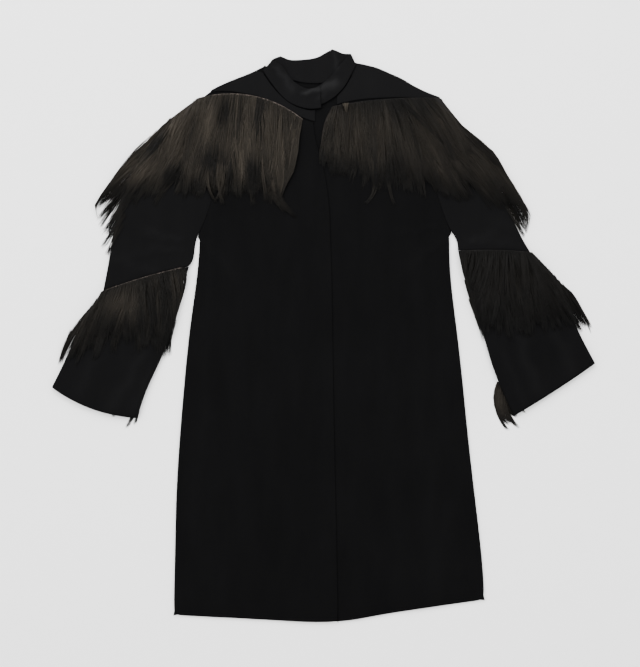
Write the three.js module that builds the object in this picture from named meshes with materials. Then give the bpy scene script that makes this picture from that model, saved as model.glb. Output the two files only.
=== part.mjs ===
import * as THREE from 'three';

// A long-hair fur trimmed wool coat, laid flat on its back. Millimetres, +Z up,
// +Y towards the collar, +X towards the wearer's left side.

// ---- sizes that drive the coat -------------------------------------------
const WALL = 2.2;            // wool cloth with its backing
const SEAM = 0.3;            // half the space left between two joined edges
const ARMHOLE_GAP = 1.1;     // from the armhole line in to the body's edge
const YOKE_GAP = 1.1;        // from the seam line down to the front's top edge
const LAYER = 0.4;           // space between cloths that lie on each other
const COLLAR_WALL = 2.4;
const HEM_Y = -520;          // nominal hem line of the body
const SHOULDER_Y = 436;      // height of both shoulder points
const LAP = 42;              // how far the left front runs under the right
const LAP_LIFT = WALL + LAYER + 0.1;
const LAP_RAMP = 80;         // run over which the right front climbs on the lap
const FUR_CLEAR = 0.8;       // pelt above the cloth that carries it
const FUR_DEPTH = 9.5;       // deepest lie of the hair above its cloth
const FUR_TIP = 2.0;         // depth where the hair runs out
const BACK_HAIR = 2.4;       // hair pressed flat under a cuff
const ARM_HEIGHT = 7.4;      // a flattened sleeve, outside, clear of the seams
const BODY_TOP = 2 * WALL + LAYER;

const CLOTH = { color: 0x141416, roughness: 0.95, metalness: 0 };
const FUR = { color: 0x2d2620, roughness: 0.5, metalness: 0 };

// Body width at each height, both side seams and the armholes left out.
const BODY = [
  { y: -540, left: -277, right: 298 },
  { y: -440, left: -275, right: 294 },
  { y: -350, left: -273, right: 286 },
  { y: -259, left: -271, right: 275 },
  { y: -178, left: -264, right: 266 },
  { y: -104, left: -259, right: 259 },
  { y: -45, left: -253, right: 253 },
  { y: 14, left: -247, right: 246 },
  { y: 87, left: -236, right: 236 },
  { y: 150, left: -229, right: 232 },
  { y: 188, left: -229, right: 233 },
];

// Shoulder line of the back, from the shoulder points to the neck.
const SHOULDER = [
  { y: 436, left: -226, right: 216 },
  { y: 448, left: -212, right: 190 },
  { y: 460, left: -192, right: 166 },
  { y: 474, left: -160, right: 147 },
  { y: 487, left: -127, right: 114 },
  { y: 498, left: -108, right: 82 },
];

// Free edge of the lapping right front.
const PLACKET = [
  { y: -540, x: 28 },
  { y: -119, x: 19 },
  { y: 100, x: 16 },
  { y: 249, x: 11 },
  { y: 330, x: -3 },
  { y: 400, x: -16 },
  { y: 440, x: -18 },
];

// Depth of the hem below its nominal line.
const HEM = [
  { x: -300, y: 5 },
  { x: -141, y: -3 },
  { x: -71, y: -7 },
  { x: -15, y: -9 },
  { x: 45, y: -7 },
  { x: 98, y: 3 },
  { x: 201, y: 19 },
  { x: 310, y: 34 },
];

// Seams where the fur is caught between cloth yoke and front.
const SEAM_RIGHT = [
  { x: -240, y: 430 },
  { x: -226, y: 438 },
  { x: -213, y: 446 },
  { x: -194, y: 450 },
  { x: -160, y: 448 },
  { x: -113, y: 437 },
  { x: -85, y: 424 },
  { x: -62, y: 412 },
  { x: -38, y: 399 },
  { x: -10, y: 392 },
];
const SEAM_LEFT = [
  { x: -70, y: 412 },
  { x: -40, y: 414 },
  { x: -10, y: 418 },
  { x: 21, y: 424 },
  { x: 50, y: 431 },
  { x: 90, y: 436 },
  { x: 150, y: 438 },
  { x: 230, y: 435 },
];

// Upper edges of the two cloth yokes: shoulder, then the front neck seam.
const YOKE_RIGHT = [
  { x: -208, y: 451 },
  { x: -194, y: 459 },
  { x: -178, y: 466 },
  { x: -162, y: 473 },
  { x: -122, y: 488 },
  { x: -111, y: 484 },
  { x: -98, y: 463 },
  { x: -74, y: 435 },
  { x: -50, y: 420 },
  { x: -25, y: 414 },
  { x: -15, y: 415 },
];
const YOKE_LEFT = [
  { x: 24, y: 440 },
  { x: 41, y: 458 },
  { x: 52, y: 480 },
  { x: 62, y: 498 },
  { x: 67, y: 503 },
  { x: 92, y: 497 },
  { x: 130, y: 480 },
  { x: 166, y: 460 },
  { x: 192, y: 447 },
  { x: 215, y: 439 },
];

// Collar band, one row a section, from the end under the lap round the back
// to the end on top: where it is sewn on, and its free edge.
const COLLAR = [
  { sewnX: -38, sewnY: 418, sewnZ: 6.4, freeX: -40, freeY: 447, freeZ: 6.6 },
  { sewnX: -10, sewnY: 422, sewnZ: 6.4, freeX: -14, freeY: 456, freeZ: 6.9 },
  { sewnX: 20, sewnY: 438, sewnZ: 6.5, freeX: 11, freeY: 474, freeZ: 7.4 },
  { sewnX: 39, sewnY: 458, sewnZ: 6.7, freeX: 25, freeY: 491, freeZ: 8.6 },
  { sewnX: 50, sewnY: 478, sewnZ: 7.0, freeX: 43, freeY: 512, freeZ: 9.6 },
  { sewnX: 60, sewnY: 499, sewnZ: 7.0, freeX: 51, freeY: 518, freeZ: 8.4 },
  { sewnX: 52, sewnY: 490, sewnZ: 4.4, freeX: 34, freeY: 519, freeZ: 4.8 },
  { sewnX: 34, sewnY: 472, sewnZ: 3.9, freeX: 16, freeY: 528, freeZ: 2.6 },
  { sewnX: 4, sewnY: 465, sewnZ: 3.9, freeX: -10, freeY: 513, freeZ: 1.4 },
  { sewnX: -28, sewnY: 464, sewnZ: 3.9, freeX: -36, freeY: 509, freeZ: 1.3 },
  { sewnX: -58, sewnY: 470, sewnZ: 3.9, freeX: -63, freeY: 508, freeZ: 1.4 },
  { sewnX: -86, sewnY: 481, sewnZ: 4.0, freeX: -79, freeY: 515, freeZ: 2.8 },
  { sewnX: -106, sewnY: 490, sewnZ: 4.7, freeX: -95, freeY: 507, freeZ: 5.4 },
  { sewnX: -110, sewnY: 485, sewnZ: 7.4, freeX: -89, freeY: 504, freeZ: 8.8 },
  { sewnX: -97, sewnY: 465, sewnZ: 7.2, freeX: -74, freeY: 494, freeZ: 9.2 },
  { sewnX: -74, sewnY: 437, sewnZ: 6.7, freeX: -62, freeY: 475, freeZ: 8.4 },
  { sewnX: -50, sewnY: 422, sewnZ: 8.0, freeX: -46, freeY: 461, freeZ: 8.8 },
  { sewnX: -25, sewnY: 416, sewnZ: 9.6, freeX: -27, freeY: 453, freeZ: 9.8 },
  { sewnX: -4, sewnY: 418, sewnZ: 9.6, freeX: -6, freeY: 459, freeZ: 10.0 },
];

// Sleeve sections from the armhole (at 0) over the elbow seam (at 6) to the
// hem (at 12): the body-side end, the outer end and how the line bows.
const ARM_RIGHT = [
  { at: 0, inX: -232, inY: 183, outX: -227, outY: 436, bowX: 32, bowY: 0 },
  { at: 1, inX: -233, inY: 180, outX: -283, outY: 386, bowX: 16, bowY: 2 },
  { at: 2, inX: -235, inY: 174, outX: -335, outY: 328, bowX: 8, bowY: 4 },
  { at: 3, inX: -237, inY: 165, outX: -367, outY: 271, bowX: 3, bowY: 4 },
  { at: 4, inX: -240, inY: 153, outX: -384, outY: 210, bowX: 0, bowY: 4 },
  { at: 5, inX: -245, inY: 141, outX: -393, outY: 148, bowX: 0, bowY: 4 },
  { at: 6, inX: -254, inY: 127, outX: -406, outY: 81, bowX: 0, bowY: 3 },
  { at: 7, inX: -262, inY: 90, outX: -424, outY: 52, bowX: 0, bowY: 2 },
  { at: 8, inX: -272, inY: 45, outX: -447, outY: 18, bowX: 0, bowY: 0 },
  { at: 9, inX: -283, inY: 2, outX: -463, outY: -18, bowX: 0, bowY: -3 },
  { at: 10, inX: -299, inY: -45, outX: -480, outY: -55, bowX: -2, bowY: -6 },
  { at: 11, inX: -326, inY: -100, outX: -491, outY: -77, bowX: -5, bowY: -13 },
  { at: 12, inX: -342, inY: -152, outX: -500, outY: -95, bowX: -5, bowY: -12 },
];
const ARM_LEFT = [
  { at: 0, inX: 236, inY: 190, outX: 218, outY: 436, bowX: -26, bowY: 0 },
  { at: 1, inX: 238, inY: 188, outX: 252, outY: 376, bowX: -13, bowY: 2 },
  { at: 2, inX: 240, inY: 185, outX: 293, outY: 325, bowX: -6, bowY: 3 },
  { at: 3, inX: 242, inY: 181, outX: 323, outY: 272, bowX: -3, bowY: 3 },
  { at: 4, inX: 245, inY: 175, outX: 345, outY: 223, bowX: 0, bowY: 2 },
  { at: 5, inX: 247, inY: 167, outX: 363, outY: 183, bowX: 0, bowY: 2 },
  { at: 6, inX: 247, inY: 156, outX: 381, outY: 153, bowX: 0, bowY: 3 },
  { at: 7, inX: 260, inY: 112, outX: 418, outY: 106, bowX: 0, bowY: 2 },
  { at: 8, inX: 273, inY: 68, outX: 442, outY: 72, bowX: 0, bowY: 0 },
  { at: 9, inX: 286, inY: 30, outX: 456, outY: 40, bowX: 0, bowY: 0 },
  { at: 10, inX: 298, inY: -15, outX: 469, outY: 8, bowX: 1, bowY: -2 },
  { at: 11, inX: 319, inY: -82, outX: 484, outY: -21, bowX: 1, bowY: -3 },
  { at: 12, inX: 350, inY: -148, outX: 500, outY: -51, bowX: 1, bowY: -2 },
];
const ELBOW = 6;
const HEM_ROW = 12;

// Fur over chest and sleeve head, a row a section from the sewn edge to the
// tips: the front edge, the outer edge, the bow and the depth of the hair.
const FUR_RIGHT = [
  { at: 0, inX: -38, inY: 398, outX: -236, outY: 437, bowX: 6, bowY: 24, deep: 0.25 },
  { at: 1, inX: -45, inY: 362, outX: -303, outY: 387, bowX: 8, bowY: 15, deep: 0.85 },
  { at: 2, inX: -54, inY: 328, outX: -353, outY: 329, bowX: 6, bowY: 10, deep: 1 },
  { at: 3, inX: -65, inY: 294, outX: -388, outY: 280, bowX: 4, bowY: 7, deep: 0.9 },
  { at: 4, inX: -66, inY: 274, outX: -401, outY: 240, bowX: 2, bowY: 16, deep: 0.6 },
  { at: 5, inX: -62, inY: 256, outX: -397, outY: 190, bowX: 0, bowY: 36, deep: 0 },
];
const FUR_LEFT = [
  { at: 0, inX: 16, inY: 422, outX: 219, outY: 437, bowX: 0, bowY: 6, deep: 0.25 },
  { at: 1, inX: 1, inY: 392, outX: 265, outY: 383, bowX: -2, bowY: 5, deep: 0.8 },
  { at: 2, inX: -3, inY: 356, outX: 313, outY: 330, bowX: -2, bowY: 4, deep: 1 },
  { at: 3, inX: 3, inY: 322, outX: 348, outY: 274, bowX: -2, bowY: 4, deep: 0.9 },
  { at: 4, inX: 13, inY: 298, outX: 369, outY: 228, bowX: 0, bowY: 14, deep: 0.6 },
  { at: 5, inX: 16, inY: 286, outX: 374, outY: 184, bowX: 0, bowY: 26, deep: 0 },
];

// ---- reading the tables ---------------------------------------------------
const mix = (a, b, t) => a + (b - a) * t;
const clamp = (t) => Math.min(1, Math.max(0, t));
const smooth = (t) => clamp(t) * clamp(t) * (3 - 2 * clamp(t));

// Smooth value of one column of a table at a place on its key column.
function read(table, key, place, name) {
  let i = 0;
  while (i < table.length - 2 && place > table[i + 1][key]) {
    i += 1;
  }
  const slope = (k) => {
    const a = table[Math.max(k - 1, 0)];
    const b = table[Math.min(k + 1, table.length - 1)];
    return (b[name] - a[name]) / (b[key] - a[key]);
  };
  const low = table[i];
  const high = table[i + 1];
  const run = high[key] - low[key];
  const t = (place - low[key]) / run;
  if (t > 1) {
    return high[name] + slope(i + 1) * (place - high[key]);
  }
  const t2 = t * t;
  const t3 = t2 * t;
  return (2 * t3 - 3 * t2 + 1) * low[name] + (t3 - 2 * t2 + t) * run * slope(i)
    + (3 * t2 - 2 * t3) * high[name] + (t3 - t2) * run * slope(i + 1);
}

// Straight-line value, for edges with corners in them.
function line(table, key, place, name) {
  let i = 0;
  while (i < table.length - 2 && place > table[i + 1][key]) {
    i += 1;
  }
  const t = (place - table[i][key]) / (table[i + 1][key] - table[i][key]);
  return mix(table[i][name], table[i + 1][name], t);
}

// ---- solids from grids of points -----------------------------------------
function mesh(name, finish, points, faces) {
  const geometry = new THREE.BufferGeometry();
  geometry.setAttribute('position', new THREE.Float32BufferAttribute(points.flat(), 3));
  geometry.setIndex(faces.flat());
  geometry.computeVertexNormals();
  const part = new THREE.Mesh(geometry, new THREE.MeshStandardMaterial(finish));
  part.name = name;
  return part;
}

function quad(faces, a, b, c, d) {
  faces.push([a, b, c], [a, c, d]);
}

// A cloth with free edges all round: upper and lower face, then the rim.
// Upper and lower give [x, y, z] at column i and row j.
function sheet(name, finish, columns, rows, upper, lower) {
  const points = [];
  const faces = [];
  for (const face of [upper, lower]) {
    for (let j = 0; j <= rows; j += 1) {
      for (let i = 0; i <= columns; i += 1) {
        points.push(face(i, j));
      }
    }
  }
  const wide = columns + 1;
  const below = wide * (rows + 1);
  const id = (i, j) => j * wide + i;
  for (let j = 0; j < rows; j += 1) {
    for (let i = 0; i < columns; i += 1) {
      quad(faces, id(i, j), id(i + 1, j), id(i + 1, j + 1), id(i, j + 1));
      quad(faces, below + id(i, j), below + id(i, j + 1), below + id(i + 1, j + 1), below + id(i + 1, j));
    }
  }
  for (let i = 0; i < columns; i += 1) {
    quad(faces, id(i, 0), below + id(i, 0), below + id(i + 1, 0), id(i + 1, 0));
    quad(faces, id(i + 1, rows), below + id(i + 1, rows), below + id(i, rows), id(i, rows));
  }
  for (let j = 0; j < rows; j += 1) {
    quad(faces, id(0, j + 1), below + id(0, j + 1), below + id(0, j), id(0, j));
    quad(faces, id(columns, j), below + id(columns, j), below + id(columns, j + 1), id(columns, j + 1));
  }
  return mesh(name, finish, points, faces);
}

// A cloth tube: outer and inner face round a section, open at both ends.
function tube(name, finish, around, rows, outer, inner) {
  const points = [];
  const faces = [];
  for (const face of [outer, inner]) {
    for (let j = 0; j <= rows; j += 1) {
      for (let i = 0; i < around; i += 1) {
        points.push(face(i, j));
      }
    }
  }
  const below = around * (rows + 1);
  const id = (i, j) => j * around + (i % around);
  for (let j = 0; j < rows; j += 1) {
    for (let i = 0; i < around; i += 1) {
      quad(faces, id(i, j), id(i + 1, j), id(i + 1, j + 1), id(i, j + 1));
      quad(faces, below + id(i, j), below + id(i, j + 1), below + id(i + 1, j + 1), below + id(i + 1, j));
    }
  }
  for (let i = 0; i < around; i += 1) {
    quad(faces, id(i, 0), below + id(i, 0), below + id(i + 1, 0), id(i + 1, 0));
    quad(faces, id(i + 1, rows), below + id(i + 1, rows), below + id(i, rows), id(i, rows));
  }
  return mesh(name, finish, points, faces);
}

// ---- heights --------------------------------------------------------------
// Shallow drag folds of the skirt: where they stand, how wide, how high.
const FOLDS = [
  { x: -205, half: 26, rise: 1.3, from: 60 },
  { x: -128, half: 34, rise: 0.9, from: -40 },
  { x: 96, half: 30, rise: 1.1, from: 20 },
  { x: 178, half: 36, rise: 1.5, from: 90 },
];

function foldRise(x, y) {
  return FOLDS.reduce((sum, fold) => {
    const across = clamp(1 - Math.abs(x - fold.x) / fold.half);
    const down = smooth((fold.from - y) / 320);
    return sum + fold.rise * smooth(across) * down;
  }, 0);
}

// How far the right front stands on the lap below it.
function lapLift(x, y) {
  const edge = line(PLACKET, 'y', y, 'x');
  return LAP_LIFT * smooth((x - (edge - LAP - 8 - LAP_RAMP)) / LAP_RAMP);
}

// Top of the sleeve cloth, climbing from the armhole.
const armTop = (x) => BODY_TOP + (ARM_HEIGHT - BODY_TOP) * smooth((Math.abs(x) - 205) / 95);

// ---- body -----------------------------------------------------------------
function armhole(arm, y) {
  const row = arm[0];
  const t = (y - row.inY) / (row.outY - row.inY);
  return mix(row.inX, row.outX, t) + row.bowX * 4 * t * (1 - t);
}

// Side edge of front or back at a height: side seam, armhole, shoulder.
function side(y, which) {
  const arm = which === 'left' ? ARM_RIGHT : ARM_LEFT;
  const inward = which === 'left' ? ARMHOLE_GAP : -ARMHOLE_GAP;
  if (y <= arm[0].inY) {
    return read(BODY, 'y', y, which);
  }
  if (y < SHOULDER_Y) {
    return armhole(arm, y) + inward;
  }
  return line(SHOULDER, 'y', y, which);
}

const hemShift = (x, y) => read(HEM, 'x', x, 'y') * smooth((HEM_Y + 180 - y) / 180);

const ROW_Y = [
  HEM_Y, -460, -380, -300, -220, -140, -60, 20, 90, 150,
  183, 205, 235, 270, 305, 340, 375, 410, SHOULDER_Y,
];
const NECK_ROWS = [448, 460, 474, 487, 498];
const NECK_DIP = [0, 3, 9, 19, 31];

const BACK_ROWS = [...ROW_Y, ...NECK_ROWS];
const BACK_COLUMNS = 12;
function backPoint(i, j, z) {
  const y = BACK_ROWS[j];
  const across = i / BACK_COLUMNS;
  const x = mix(side(y, 'left'), side(y, 'right'), across);
  const up = j - ROW_Y.length;
  const dip = up < 0 ? 0 : NECK_DIP[up] * (1 - (2 * across - 1) ** 2);
  return [x, y + hemShift(x, y) - dip, z];
}
const back = sheet(
  'back', CLOTH, BACK_COLUMNS, BACK_ROWS.length - 1,
  (i, j) => backPoint(i, j, WALL),
  (i, j) => backPoint(i, j, 0),
);

// A front: its two side edges, the seam along its top and its height.
function front(name, columns, leftEdge, rightEdge, seam, lift) {
  const point = (i, j, z) => {
    const nominal = ROW_Y[j];
    const from = leftEdge(nominal);
    const to = rightEdge(nominal);
    const x = mix(from, to, i / columns);
    const fromArm = name === 'front_right' ? x - from : to - x;
    const near = smooth((nominal - 300) / 136);
    const rise = (read(seam, 'x', x, 'y') - SHOULDER_Y) * clamp(fromArm / 30) - YOKE_GAP;
    const y = nominal + hemShift(x, nominal) + rise * near;
    return [x, y, z + lift(x, nominal) + foldRise(x, nominal)];
  };
  return sheet(
    name, CLOTH, columns, ROW_Y.length - 1,
    (i, j) => point(i, j, BODY_TOP),
    (i, j) => point(i, j, WALL + LAYER),
  );
}
const placket = (y) => line(PLACKET, 'y', y, 'x');
const frontRight = front(
  'front_right', 12, (y) => side(y, 'left'), placket, SEAM_RIGHT, lapLift,
);
const frontLeft = front(
  'front_left', 10, (y) => placket(y) - LAP, (y) => side(y, 'right'), SEAM_LEFT, () => 0,
);

// ---- yokes ----------------------------------------------------------------
// Cloth between the fur seam and the shoulder or neck, a column a table row.
function yoke(name, upperEdge, seam, lift) {
  const rows = 3;
  const point = (i, j, z) => {
    const edge = upperEdge[i];
    const low = read(seam, 'x', edge.x, 'y') + SEAM;
    return [edge.x, mix(low, edge.y, j / rows), z + lift(edge.x, low)];
  };
  return sheet(
    name, CLOTH, upperEdge.length - 1, rows,
    (i, j) => point(i, j, BODY_TOP),
    (i, j) => point(i, j, WALL + LAYER),
  );
}
const yokeRight = yoke('yoke_right', YOKE_RIGHT, SEAM_RIGHT, lapLift);
const yokeLeft = yoke('yoke_left', YOKE_LEFT, SEAM_LEFT, () => 0);

// ---- collar ---------------------------------------------------------------
// A standing band, folded flat at both sides, its right end over its left.
const COLLAR_STEPS = 2;
const COLLAR_ROWS = 4;
const collarTable = COLLAR.map((row, at) => ({ at, ...row }));
function collarMiddle(i, j) {
  const at = i / COLLAR_STEPS;
  const up = j / COLLAR_ROWS;
  const value = (name) => read(collarTable, 'at', at, name);
  return new THREE.Vector3(
    mix(value('sewnX'), value('freeX'), up),
    mix(value('sewnY'), value('freeY'), up),
    mix(value('sewnZ'), value('freeZ'), up),
  );
}
const COLLAR_COLUMNS = (COLLAR.length - 1) * COLLAR_STEPS;
function collarFace(i, j, sideways) {
  const here = collarMiddle(i, j);
  const next = collarMiddle(Math.min(i + 1, COLLAR_COLUMNS), j);
  const last = collarMiddle(Math.max(i - 1, 0), j);
  const above = collarMiddle(i, Math.min(j + 1, COLLAR_ROWS));
  const below = collarMiddle(i, Math.max(j - 1, 0));
  const normal = next.sub(last).cross(above.sub(below)).normalize();
  const moved = here.addScaledVector(normal, sideways * COLLAR_WALL / 2);
  return [moved.x, moved.y, moved.z];
}
const collar = sheet(
  'collar', CLOTH, COLLAR_COLUMNS, COLLAR_ROWS,
  (i, j) => collarFace(i, j, 1),
  (i, j) => collarFace(i, j, -1),
);

// ---- sleeves --------------------------------------------------------------
// Places across a flattened sleeve: in mm near its rounded edges, then as
// shares of its width.
const NEAR_EDGE = [0, 0.8, 3.6, 15];
const ACROSS = [0.18, 0.34];
const TOP_COUNT = 12;

// Distance in from the edge, in mm, for step k over a section of this width.
function inset(k, width) {
  const half = TOP_COUNT / 2;
  const near = k <= half ? k : TOP_COUNT - k;
  const share = near - NEAR_EDGE.length;
  const inner = share < ACROSS.length ? ACROSS[share] * width : width / 2;
  const mm = share < 0 ? NEAR_EDGE[near] : inner;
  return k <= half ? mm : width - mm;
}

function sectionPoint(arm, at, t) {
  const value = (name) => read(arm, 'at', at, name);
  const bow = 4 * t * (1 - t);
  return [
    mix(value('inX'), value('outX'), t) + value('bowX') * bow,
    mix(value('inY'), value('outY'), t) + value('bowY') * bow,
  ];
}

function sectionWidth(arm, at) {
  const a = sectionPoint(arm, at, 0);
  const b = sectionPoint(arm, at, 1);
  return Math.hypot(a[0] - b[0], a[1] - b[1]);
}

// One point of a flattened ring. Shrink pulls the ring in on all sides.
function ringPoint(arm, at, k, low, high, shrink) {
  const width = sectionWidth(arm, at);
  const inner = width - 2 * shrink;
  const topSide = k <= TOP_COUNT;
  const step = topSide ? k : 2 * TOP_COUNT - k;
  const scaled = inset(step, width) / width * inner;
  const fromEdge = Math.min(scaled, inner - scaled);
  const [x, y] = sectionPoint(arm, at, (scaled + shrink) / width);
  const top = high(x, at) - shrink;
  const bottom = low(at) + shrink;
  const middle = (top + bottom) / 2;
  const reach = (top - bottom) / 2;
  const round = Math.sqrt(1 - (1 - clamp(fromEdge / Math.max(reach, 1))) ** 2);
  return [x, y, middle + (topSide ? 1 : -1) * reach * round];
}

function armLow(at) {
  return (BACK_HAIR + LAYER) * smooth((at - 4.4) / 1.7);
}
const armHigh = (x, at) => armTop(x) + armLow(at);
const RING = 2 * TOP_COUNT;

// Seen along the sleeve the rings of the two arms run opposite ways round.
const turn = (arm, k) => (arm === ARM_RIGHT ? k : (RING - k) % RING);

function armTube(name, arm, from, to, rows) {
  const place = (j) => mix(from, to, j / rows);
  return tube(
    name, CLOTH, RING, rows,
    (k, j) => ringPoint(arm, place(j), turn(arm, k), armLow, armHigh, 0),
    (k, j) => ringPoint(arm, place(j), turn(arm, k), armLow, armHigh, WALL),
  );
}
const SEAM_STEP = 0.01;
const sleeveRight = armTube('sleeve_right', ARM_RIGHT, 0, ELBOW - SEAM_STEP, 7);
const sleeveLeft = armTube('sleeve_left', ARM_LEFT, 0, ELBOW - SEAM_STEP, 7);
const cuffRight = armTube('cuff_right', ARM_RIGHT, ELBOW + SEAM_STEP, HEM_ROW, 9);
const cuffLeft = armTube('cuff_left', ARM_LEFT, ELBOW + SEAM_STEP, HEM_ROW, 9);

// ---- fur bands on the forearms -------------------------------------------
// Reach of the hair round a cuff: long behind, shorter in front.
const BAND_RIGHT = { front: 9.7, backIn: 12.35, backOut: 11.2, spread: 5 };
const BAND_LEFT = { front: 9.6, backIn: 12.3, backOut: 11.4, spread: 9 };
const BAND_ROWS = 7;
const BAND_WALL = 1.2;
const BAND_CLEAR = 1.2;      // hair and pelt off the cuff inside them

function furBand(name, arm, band) {
  const reachAt = (k) => {
    if (k <= TOP_COUNT) {
      return band.front;
    }
    const step = RING - k;
    const behind = mix(band.backIn, band.backOut, smooth(step / TOP_COUNT));
    const fromEdge = Math.min(step, TOP_COUNT - step);
    return mix(band.front, behind, clamp((fromEdge - 3) / 2));
  };
  const place = (k, j) => mix(ELBOW + 0.02, reachAt(k), j / BAND_ROWS);
  const bulge = (j) => Math.sin(Math.PI * Math.min(1, 0.18 + 0.82 * j / BAND_ROWS));
  const inner = (k, j) => {
    return ringPoint(arm, place(k, j), k, armLow, armHigh, -BAND_CLEAR);
  };
  const outer = (k, j) => {
    const out = BAND_WALL + BAND_CLEAR + band.spread * smooth(j / BAND_ROWS);
    const low = () => out;
    const deep = FUR_TIP + (FUR_DEPTH - FUR_TIP) * bulge(j);
    const high = (x, at) => armHigh(x, at) + BAND_CLEAR + deep - out;
    return ringPoint(arm, place(k, j), k, low, high, -out);
  };
  return tube(
    name, FUR, RING, BAND_ROWS,
    (k, j) => outer(turn(arm, k), j),
    (k, j) => inner(turn(arm, k), j),
  );
}
const furBandRight = furBand('fur_band_right', ARM_RIGHT, BAND_RIGHT);
const furBandLeft = furBand('fur_band_left', ARM_LEFT, BAND_LEFT);

// ---- fur over chest and sleeve head --------------------------------------
const FUR_COLUMNS = 12;
const FUR_ROWS = 9;
const OVERHANG = 9;          // hair past the outer edge of the sleeve
const DROP = 6.6;            // how far it falls there

function furYoke(name, fur, lift) {
  const last = fur.length - 1;
  const spot = (i, j) => {
    const at = last * j / FUR_ROWS;
    const width = sectionWidth(fur, at);
    const edge = 1 - OVERHANG / width;
    const t = i === FUR_COLUMNS ? 1 : edge * i / (FUR_COLUMNS - 1);
    return { at, t, place: sectionPoint(fur, at, t) };
  };
  const lowest = (i, j) => {
    const { place } = spot(i, j);
    const bed = Math.max(BODY_TOP + lift(place[0], place[1]), armTop(place[0]));
    const falls = i === FUR_COLUMNS ? DROP * smooth((j / FUR_ROWS) * 3) : 0;
    return bed + FUR_CLEAR - falls;
  };
  const lower = (i, j) => [...spot(i, j).place, lowest(i, j)];
  const upper = (i, j) => {
    const { at, t, place } = spot(i, j);
    const swell = Math.min(1, Math.sqrt(clamp(t * 9)), i === FUR_COLUMNS ? 0 : 1);
    const deep = FUR_TIP + (FUR_DEPTH - FUR_TIP) * clamp(read(fur, 'at', at, 'deep')) * swell;
    return [...place, lowest(i, j) + deep];
  };
  const flip = (i) => (fur === FUR_RIGHT ? i : FUR_COLUMNS - i);
  return sheet(
    name, FUR, FUR_COLUMNS, FUR_ROWS,
    (i, j) => upper(flip(i), j),
    (i, j) => lower(flip(i), j),
  );
}
const furYokeRight = furYoke('fur_yoke_right', FUR_RIGHT, lapLift);
const furYokeLeft = furYoke('fur_yoke_left', FUR_LEFT, () => 0);

// ---- the coat -------------------------------------------------------------
const coat = new THREE.Group();
coat.name = 'fur_coat';
coat.add(
  back, frontRight, frontLeft, yokeRight, yokeLeft, collar,
  sleeveRight, sleeveLeft, cuffRight, cuffLeft,
  furYokeRight, furYokeLeft, furBandRight, furBandLeft,
);
export default coat;
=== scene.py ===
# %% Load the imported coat
import math

import bmesh
import bpy
import numpy as np
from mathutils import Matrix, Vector
from mathutils.bvhtree import BVHTree


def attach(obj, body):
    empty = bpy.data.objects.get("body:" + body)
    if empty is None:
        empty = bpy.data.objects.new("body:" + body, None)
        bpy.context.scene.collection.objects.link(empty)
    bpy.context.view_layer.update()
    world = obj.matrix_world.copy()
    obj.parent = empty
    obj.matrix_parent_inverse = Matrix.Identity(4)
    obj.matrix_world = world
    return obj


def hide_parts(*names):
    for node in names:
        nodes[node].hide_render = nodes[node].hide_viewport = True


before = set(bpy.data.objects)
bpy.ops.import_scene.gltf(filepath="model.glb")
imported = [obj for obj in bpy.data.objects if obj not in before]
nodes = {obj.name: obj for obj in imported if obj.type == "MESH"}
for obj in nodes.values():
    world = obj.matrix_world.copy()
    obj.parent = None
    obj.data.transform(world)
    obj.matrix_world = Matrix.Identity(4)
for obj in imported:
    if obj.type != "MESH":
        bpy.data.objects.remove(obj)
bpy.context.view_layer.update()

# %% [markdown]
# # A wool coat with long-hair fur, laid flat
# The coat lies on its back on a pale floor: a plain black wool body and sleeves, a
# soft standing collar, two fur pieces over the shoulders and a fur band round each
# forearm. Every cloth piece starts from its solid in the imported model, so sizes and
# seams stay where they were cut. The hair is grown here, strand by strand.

MM = 0.001


def put(name, data):
    """A new object in the scene, at the origin."""
    made = bpy.data.objects.new(name, data)
    bpy.context.scene.collection.objects.link(made)
    return made



# %% [markdown]
# ## Camera
# A flat garment is pictured from straight above. A long lens a few metres away keeps
# the collar and the hem at one scale, as on a copy stand.

# %% Camera over the middle of the coat
VIEW_CENTRE = (-0.0064, 0.0037)
VIEW_HEIGHT = 1.2273
COAT_MIDDLE = 0.006
LENS = 80.0
SENSOR = 36.0
view_camera = bpy.data.cameras.new("camera")
view_camera.lens = LENS
view_camera.sensor_width = SENSOR
camera = put("camera", view_camera)
camera.location = (*VIEW_CENTRE, VIEW_HEIGHT * LENS / SENSOR + COAT_MIDDLE)
bpy.context.scene.camera = camera
print("camera height", round(camera.location.z, 3))

# %% [markdown]
# ## Writing finishes as sums
# A finish is a small tree of nodes. This wrapper lets a node's output be added to,
# multiplied by another or by a number, so a formula reads like one.

# %% A socket that knows arithmetic
class Wire:
    """One output of a node in a finish."""

    def __init__(self, finish, socket):
        self.finish = finish
        self.socket = socket

    def math(self, operation, *others):
        values = dict(enumerate([self, *others]))
        return self.finish.node("ShaderNodeMath", {"operation": operation}, values)

    def __add__(self, other):
        return self.math("ADD", other)

    def __mul__(self, other):
        return self.math("MULTIPLY", other)

    def __pow__(self, other):
        return self.math("POWER", other)

    __radd__ = __add__
    __rmul__ = __mul__


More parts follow.
